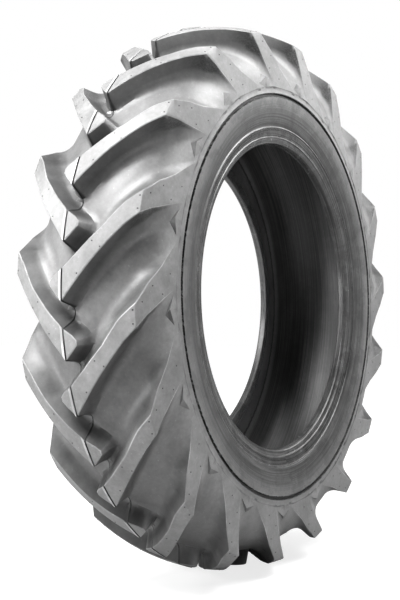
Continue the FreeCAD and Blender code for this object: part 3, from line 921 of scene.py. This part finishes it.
# Near-black vent stubs: painted shade where the vents show as dark dots
VENT_PAINTED_SHADE_GREY = 0.025
RUBBER_SPECULAR = 0.5
MOTTLE = Noise(7.0, 5.0, 0.6, (0.3, 0.7), (0.78, 1.22))
CLOUD = Noise(34.0, 4.0, 0.6, (0.3, 0.7), (0.84, 1.16))
FINE = Noise(150.0, 3.0, 0.6, (0.3, 0.7), (0.9, 1.1))
SPECK = Noise(300.0, 2.0, 0.5, (0.7, 0.76), (1.0, 1.5))

# Side walls and inside: turns across and round the axle, and the radius where the walls end
SIDE_WALL_EDGE = (396.0 * MM, 394.0 * MM)
INSIDE_SPAN = (-0.02, -0.08)
STREAK_TURNS = (420.0, 1.6)
STREAK = Noise(1.0, 2.0, 0.6, (0.3, 0.7), (0.98, 1.02))
# Inside the casing the streaks are dark all over: streaks and painted shade
INNER_STREAK_AND_SHADE = Noise(1.0, 2.0, 0.6, (0.4, 0.65), (0.22, 0.6))
SCUFF_TURNS = (560.0, 9.0)
SCUFF = Noise(1.0, 2.0, 0.6, (0.35, 0.7), (0.84, 1.22))
SCUFF_PATCH = Noise(7.0, 2.0, 0.5, (0.56, 0.66), (0.0, 1.0))
# Stains, and painted shade: at most 0.8, so the whole side wall is darker
STAIN_AND_SHADE = Noise(26.0, 4.0, 0.7, (0.5, 0.56), (0.8, 0.6))

# Painted shade in the groove, a dark ragged line: its middle, and how far it reaches to each side
GROOVE_MIDDLE = 397.0 * MM
GROOVE_REACH = Noise(130.0, 2.0, 0.6, (0.35, 0.65), (2.2 * MM, 4.6 * MM))
GROOVE_PAINTED_SHADE = 0.1

# Lugs: painted shade on the walls that face round the axle and deep in the gaps, and the marks of wear and
# painted light on the faces
STEEP_SPAN = (0.25, 0.8)
PAINTED_WALL_SHADE = 0.18
PAINTED_GAP_SPAN = (0.1, 1.0)
PAINTED_GAP_SHADE = 0.72
WEAR_AND_LIGHT_SHARE = Noise(22.0, 2.0, 0.5, (0.42, 0.58), (0.3, 1.0))
WEAR_AND_LIGHT_CONTRAST = 0.7
PAINTED_SHADE_DARKEST = 0.1

# Gloss: roughness all over, its factors by depth, and its factor on the beads
ROUGHNESS = Noise(34.0, 3.0, 0.6, (0.3, 0.7), (0.4, 0.51))
DEPTH_GLOSS = (1.1, 0.85)
BEAD_EDGE = (RIM_LINE_RADIUS * MM, 345.0 * MM)
BEAD_GLOSS = 0.5

# Relief: scale, detail and roughness of the noise, with its height in metres
GRAIN = (1300.0, 2.0, 0.6)
GRAIN_HEIGHT = 0.00012
WAVE = (30.0, 3.0, 0.5)
WAVE_HEIGHT = 0.0006


class Graph:
    """A node tree, filled from its inputs to its output."""

    def __init__(self, tree):
        self.tree = tree
        tree.nodes.clear()

    def add(self, kind, values=(), **settings):
        """Adds a node with its settings, and sets or links the inputs that values names."""
        node = self.tree.nodes.new(kind)
        for name, value in settings.items():
            setattr(node, name, value)
        for key, value in dict(values).items():
            if isinstance(value, bpy.types.NodeSocket):
                self.tree.links.new(value, node.inputs[key])
            else:
                node.inputs[key].default_value = value
        return node

    def math(self, operation, *values):
        """One step of arithmetic on numbers or sockets."""
        return self.add("ShaderNodeMath", enumerate(values), operation=operation).outputs[0]

    def product(self, value, *factors):
        """Numbers or sockets multiplied together, in their order."""
        for factor in factors:
            value = self.math("MULTIPLY", value, factor)
        return value

    def dot(self, first, second):
        """How far one vector runs along another."""
        values = {0: first, 1: second}
        return self.add("ShaderNodeVectorMath", values, operation="DOT_PRODUCT").outputs["Value"]

    def span(self, value, low, high, first=0.0, last=1.0):
        """The value, moved from one range to another and held inside it."""
        ranges = {"From Min": low, "From Max": high, "To Min": first, "To Max": last}
        return self.add("ShaderNodeMapRange", {"Value": value, **ranges}).outputs[0]

    def clouds(self, vector, scale, detail, roughness):
        """Cloudy noise between 0 and 1."""
        values = {"Vector": vector, "Scale": scale, "Detail": detail, "Roughness": roughness}
        return self.add("ShaderNodeTexNoise", values).outputs["Fac"]

    def noise(self, vector, kind):
        """A named noise, with its span moved to its ends."""
        clouds = self.clouds(vector, kind.scale, kind.detail, kind.roughness)
        return self.span(clouds, *kind.span, *kind.ends)

    def only(self, share, factor):
        """The factor where the share is 1, and no change where it is 0."""
        return self.add("ShaderNodeMix", {"Factor": share, "A": 1.0, "B": factor}).outputs[0]

    def vector(self, x, y, z):
        """A vector of three numbers or sockets."""
        return self.add("ShaderNodeCombineXYZ", {"X": x, "Y": y, "Z": z}).outputs[0]

    def grey(self, value):
        """A neutral colour of a worked-out brightness."""
        values = {"Red": value, "Green": value, "Blue": value}
        return self.add("ShaderNodeCombineColor", values).outputs[0]

    def kept(self, name):
        """A number that the mesh keeps for each point or face."""
        return self.add("ShaderNodeAttribute", attribute_name=name).outputs["Fac"]


class Surface:
    """The places and directions that the rubber's layers are worked out from."""

    def __init__(self, graph):
        self.graph = graph
        coordinates = graph.add("ShaderNodeTexCoord").outputs
        self.place = coordinates["Object"]
        self.normal = coordinates["Normal"]
        self.x, self.y, self.z = graph.add("ShaderNodeSeparateXYZ", {"Vector": self.place}).outputs
        squares = [graph.product(part, part) for part in (self.x, self.z)]
        self.radius = graph.math("SQRT", graph.math("ADD", *squares))
        self.angle = graph.math("ARCTAN2", self.x, self.z)
        self.depth = graph.kept("depth")
        self.side_wall = graph.span(self.radius, *SIDE_WALL_EDGE)
        outwards = graph.dot(self.normal, graph.vector(self.x, 0.0, self.z))
        self.inside = graph.span(outwards, *INSIDE_SPAN)

    def drawn_out(self, turns):
        """Coordinates drawn out round the axle: fine across the section, and long in the angle."""
        across, round_the_axle = turns
        pairs = ((self.radius, across), (self.y, across), (self.angle, round_the_axle))
        return self.graph.vector(*(self.graph.product(value, factor) for value, factor in pairs))


def mottling(surface):
    """Mottles, clouds and specks all over."""
    return [surface.graph.noise(surface.place, kind) for kind in (MOTTLE, CLOUD, FINE, SPECK)]


def streaks(surface):
    """Streaks round the axle: faint on the side walls, and dark inside the casing, where they are also
    painted shade over the whole inside.
    """
    graph = surface.graph
    lines = surface.drawn_out(STREAK_TURNS)
    either = graph.math("MAXIMUM", surface.side_wall, surface.inside)
    return [graph.only(either, graph.noise(lines, STREAK)),
            graph.only(surface.inside, graph.noise(lines, INNER_STREAK_AND_SHADE))]


def scuffs_stains_and_shade(surface):
    """Patches of fine scratches round the axle on the side walls, and stains with painted shade that
    darkens the whole side wall.
    """
    graph = surface.graph
    patches = graph.product(surface.side_wall, graph.noise(surface.place, SCUFF_PATCH))
    scratches = graph.noise(surface.drawn_out(SCUFF_TURNS), SCUFF)
    stains_and_shade = graph.noise(surface.place, STAIN_AND_SHADE)
    return [graph.only(patches, scratches), graph.only(surface.side_wall, stains_and_shade)]


def groove_painted_shade(surface):
    """Painted shade: the dark, ragged line in the groove below the lugs."""
    graph = surface.graph
    away = graph.math("ABSOLUTE", graph.math("SUBTRACT", surface.radius, GROOVE_MIDDLE))
    within = graph.math("LESS_THAN", away, graph.noise(surface.place, GROOVE_REACH))
    return graph.span(within, 0.0, 1.0, 1.0, GROOVE_PAINTED_SHADE)


def painted_wall_shade(surface):
    """Painted shade: darker rubber on the walls that face round the axle."""
    graph = surface.graph
    forwards = graph.vector(surface.z, 0.0, graph.product(surface.x, -1.0))
    around = graph.add("ShaderNodeVectorMath", {0: forwards}, operation="NORMALIZE").outputs["Vector"]
    steep = graph.math("ABSOLUTE", graph.dot(surface.normal, around))
    return graph.span(steep, *STEEP_SPAN, 1.0, PAINTED_WALL_SHADE)


def painted_light_and_wear_layer(surface):
    """Pale and dark faces, as their marks say, unevenly: worn edges with a painted highlight, and the
    seam's and gussets' painted highlight and painted shade.
    """
    graph = surface.graph
    share = graph.noise(surface.place, WEAR_AND_LIGHT_SHARE)
    change = graph.product(graph.kept("wear_and_painted_light"), share, WEAR_AND_LIGHT_CONTRAST)
    return graph.math("MAXIMUM", graph.math("ADD", 1.0, change), PAINTED_SHADE_DARKEST)


def rubber_roughness(surface):
    """Roughness: cloudy, least on the beads, and less in the gaps than on the lugs."""
    graph = surface.graph
    by_depth = graph.span(surface.depth, 0.0, 1.0, *DEPTH_GLOSS)
    on_bead = graph.span(surface.radius, *BEAD_EDGE, BEAD_GLOSS, 1.0)
    return graph.product(graph.noise(surface.place, ROUGHNESS), by_depth, on_bead)


def rubber_relief(surface):
    """The bumped normal: a fine grain on broad, shallow waves."""
    graph = surface.graph
    wave = graph.clouds(surface.place, *WAVE)
    grain = graph.clouds(surface.place, *GRAIN)
    broad = graph.add("ShaderNodeBump", {"Height": wave, "Distance": WAVE_HEIGHT, "Strength": 1.0})
    values = {"Height": grain, "Distance": GRAIN_HEIGHT, "Strength": 1.0, "Normal": broad.outputs[0]}
    return graph.add("ShaderNodeBump", values).outputs[0]


def rubber_material(name, grey):
    """Moulded rubber: the grey, darkened and lightened by its layers, among them painted shade and painted
    highlight.
    """
    material = bpy.data.materials.new(name)
    material.use_nodes = True
    graph = Graph(material.node_tree)
    surface = Surface(graph)
    # Painted shade deep between the lugs and all over the inside of the casing, from the kept depth
    painted_gap_shade = graph.span(surface.depth, *PAINTED_GAP_SPAN, 1.0, PAINTED_GAP_SHADE)
    layers = mottling(surface) + streaks(surface) + scuffs_stains_and_shade(surface)
    layers += [groove_painted_shade(surface), painted_wall_shade(surface), painted_gap_shade, painted_light_and_wear_layer(surface)]
    shader = graph.add("ShaderNodeBsdfPrincipled", {
        "Base Color": graph.grey(graph.product(grey, *layers)), "Roughness": rubber_roughness(surface),
        "Specular IOR Level": RUBBER_SPECULAR, "Normal": rubber_relief(surface)})
    graph.add("ShaderNodeOutputMaterial", {"Surface": shader.outputs[0]})
    return material


# Stage: levels of light, where 1 is white, and places in metres. A backdrop's spans are of the
# direction in the world, and of the distance on the floor, both along its way.
WHITE = (1.0, 1.0, 1.0, 1.0)
WORLD_LEVEL = 0.05
BACKDROP_WAY = (0.86, 0.51, 0.0)
BACKDROP_SPREAD = (0.75, 0.9)
BACKDROP_NEAR = (0.8, 1.4)
FLOOR_HALF = 20.0
FLOOR_GREY = (0.35, 0.35, 0.35, 1.0)
FLOOR_GLOW = (0.78, 1.0)
GLOW_REACH = (1.0, 3.0)

# Lamps: place, side of the square and level
LAMPS = {
    "key": ((-1.98, 0.18, 2.25), 1.4, 34.0),
    "left": ((-1.39, 1.68, 1.01), 1.0, 11.0),
    "front": ((-2.1, 0.8, 0.75), 1.0, 5.0),
    "right": ((0.94, -1.27, 1.80), 1.2, 9.5),
    "right_low": ((1.97, -1.01, 0.94), 0.8, 5.5),
    "near_top": ((0.15, -0.90, 1.19), 0.8, 9.0),
    "low_far": ((-2.16, 1.01, -0.26), 0.5, 18.0),
    "low_near": ((-0.84, -2.23, -0.26), 0.5, 9.0),
}


def seen_directly(graph, vector, low, high):
    """1 for rays from the camera, and for those from gloss and glass that reach the backdrop."""
    path = graph.add("ShaderNodeLightPath").outputs
    backdrop = graph.span(graph.dot(vector, BACKDROP_WAY), low, high)
    mirrored = graph.math("MAXIMUM", path["Is Glossy Ray"], path["Is Transmission Ray"])
    return graph.math("MAXIMUM", path["Is Camera Ray"], graph.product(mirrored, backdrop))


def light_world():
    """A white surround, whose light on the object is dimmer."""
    world = bpy.data.worlds.new("white_surround")
    bpy.context.scene.world = world
    world.use_nodes = True
    graph = Graph(world.node_tree)
    way = graph.add("ShaderNodeTexCoord").outputs["Generated"]
    level = graph.span(seen_directly(graph, way, *BACKDROP_SPREAD), 0.0, 1.0, WORLD_LEVEL, 1.0)
    light = graph.add("ShaderNodeBackground", {"Color": WHITE, "Strength": level})
    graph.add("ShaderNodeOutputWorld", {"Surface": light.outputs[0]})


def floor_material():
    """A pale floor that reads white, with the object's soft shadow on it."""
    material = bpy.data.materials.new("pale_floor")
    material.use_nodes = True
    graph = Graph(material.node_tree)
    place = graph.add("ShaderNodeTexCoord").outputs["Object"]
    reach = graph.add("ShaderNodeVectorMath", {0: place}, operation="LENGTH").outputs["Value"]
    shown = seen_directly(graph, place, *BACKDROP_NEAR)
    glow = graph.product(shown, graph.span(reach, *GLOW_REACH, *FLOOR_GLOW))
    surface = graph.add("ShaderNodeBsdfDiffuse", {"Color": FLOOR_GREY})
    white = graph.add("ShaderNodeEmission", {"Strength": glow})
    both = graph.add("ShaderNodeAddShader", {0: surface.outputs[0], 1: white.outputs[0]})
    graph.add("ShaderNodeOutputMaterial", {"Surface": both.outputs[0]})
    return material


def add_floor():
    """The floor under the tyre's lowest lugs."""
    level = size_before[0][2]
    corners = [(x * FLOOR_HALF, y * FLOOR_HALF, level) for x, y in ((-1, -1), (1, -1), (1, 1), (-1, 1))]
    mesh = bpy.data.meshes.new("floor")
    mesh.from_pydata(corners, [], [(0, 1, 2, 3)])
    mesh.materials.append(floor_material())
    place_object("floor", mesh)


def add_lamp(name, place, size, level):
    """A square soft lamp that faces the tyre; its face is as bright as white times the level."""
    lamp = bpy.data.lights.new(name, "AREA")
    lamp.size = size
    lamp.energy = level * math.pi * size**2
    holder = place_object(name, lamp)
    holder.location = place
    holder.rotation_euler = (-Vector(place)).to_track_quat("-Z", "Y").to_euler()


# Camera: to the left of the near side wall, a little below the axle. Its distance is in metres,
# and its aim is off the wheel's centre by shares of the way to it.
VIEW_AZIMUTH = math.radians(-59.615)
VIEW_ELEVATION = math.radians(-2.054)
VIEW_DISTANCE = 1.9031
AIM_RIGHT = -0.03928
AIM_UP = -0.00253
LENS = 54.894
SENSOR = 36.0


def axes(forward):
    """Unit vectors to the right, upwards and forwards of a view that is held level."""
    right = forward.cross(Vector((0.0, 0.0, 1.0))).normalized()
    return right, right.cross(forward), forward


def add_camera():
    """The photograph's camera."""
    level = math.cos(VIEW_ELEVATION)
    back = Vector((math.sin(VIEW_AZIMUTH) * level, -math.cos(VIEW_AZIMUTH) * level,
                   math.sin(VIEW_ELEVATION)))
    right, up, _ = axes(-back)
    right, up, forward = axes((AIM_RIGHT * right + AIM_UP * up - back).normalized())
    data = bpy.data.cameras.new("camera")
    data.sensor_width = SENSOR
    data.lens = LENS
    camera = place_object("camera", data)
    turn = Matrix((right, up, -forward)).transposed().to_4x4()
    camera.matrix_world = Matrix.Translation(back * VIEW_DISTANCE) @ turn
    bpy.context.scene.camera = camera


tyre = build_tyre()
tyre.data.materials.append(rubber_material("moulded_rubber", RUBBER_GREY))
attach(tyre, "root")
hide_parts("tyre")
vents = build_vents()
# The vent stubs' near-black grey is painted shade
vents.data.materials.append(rubber_material("vent_painted_shade", VENT_PAINTED_SHADE_GREY))
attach(vents, "root")
add_floor()
light_world()
for name, (place, size, level) in LAMPS.items():
    add_lamp(name, place, size, level)
add_camera()
bpy.context.scene.view_settings.view_transform = "Standard"
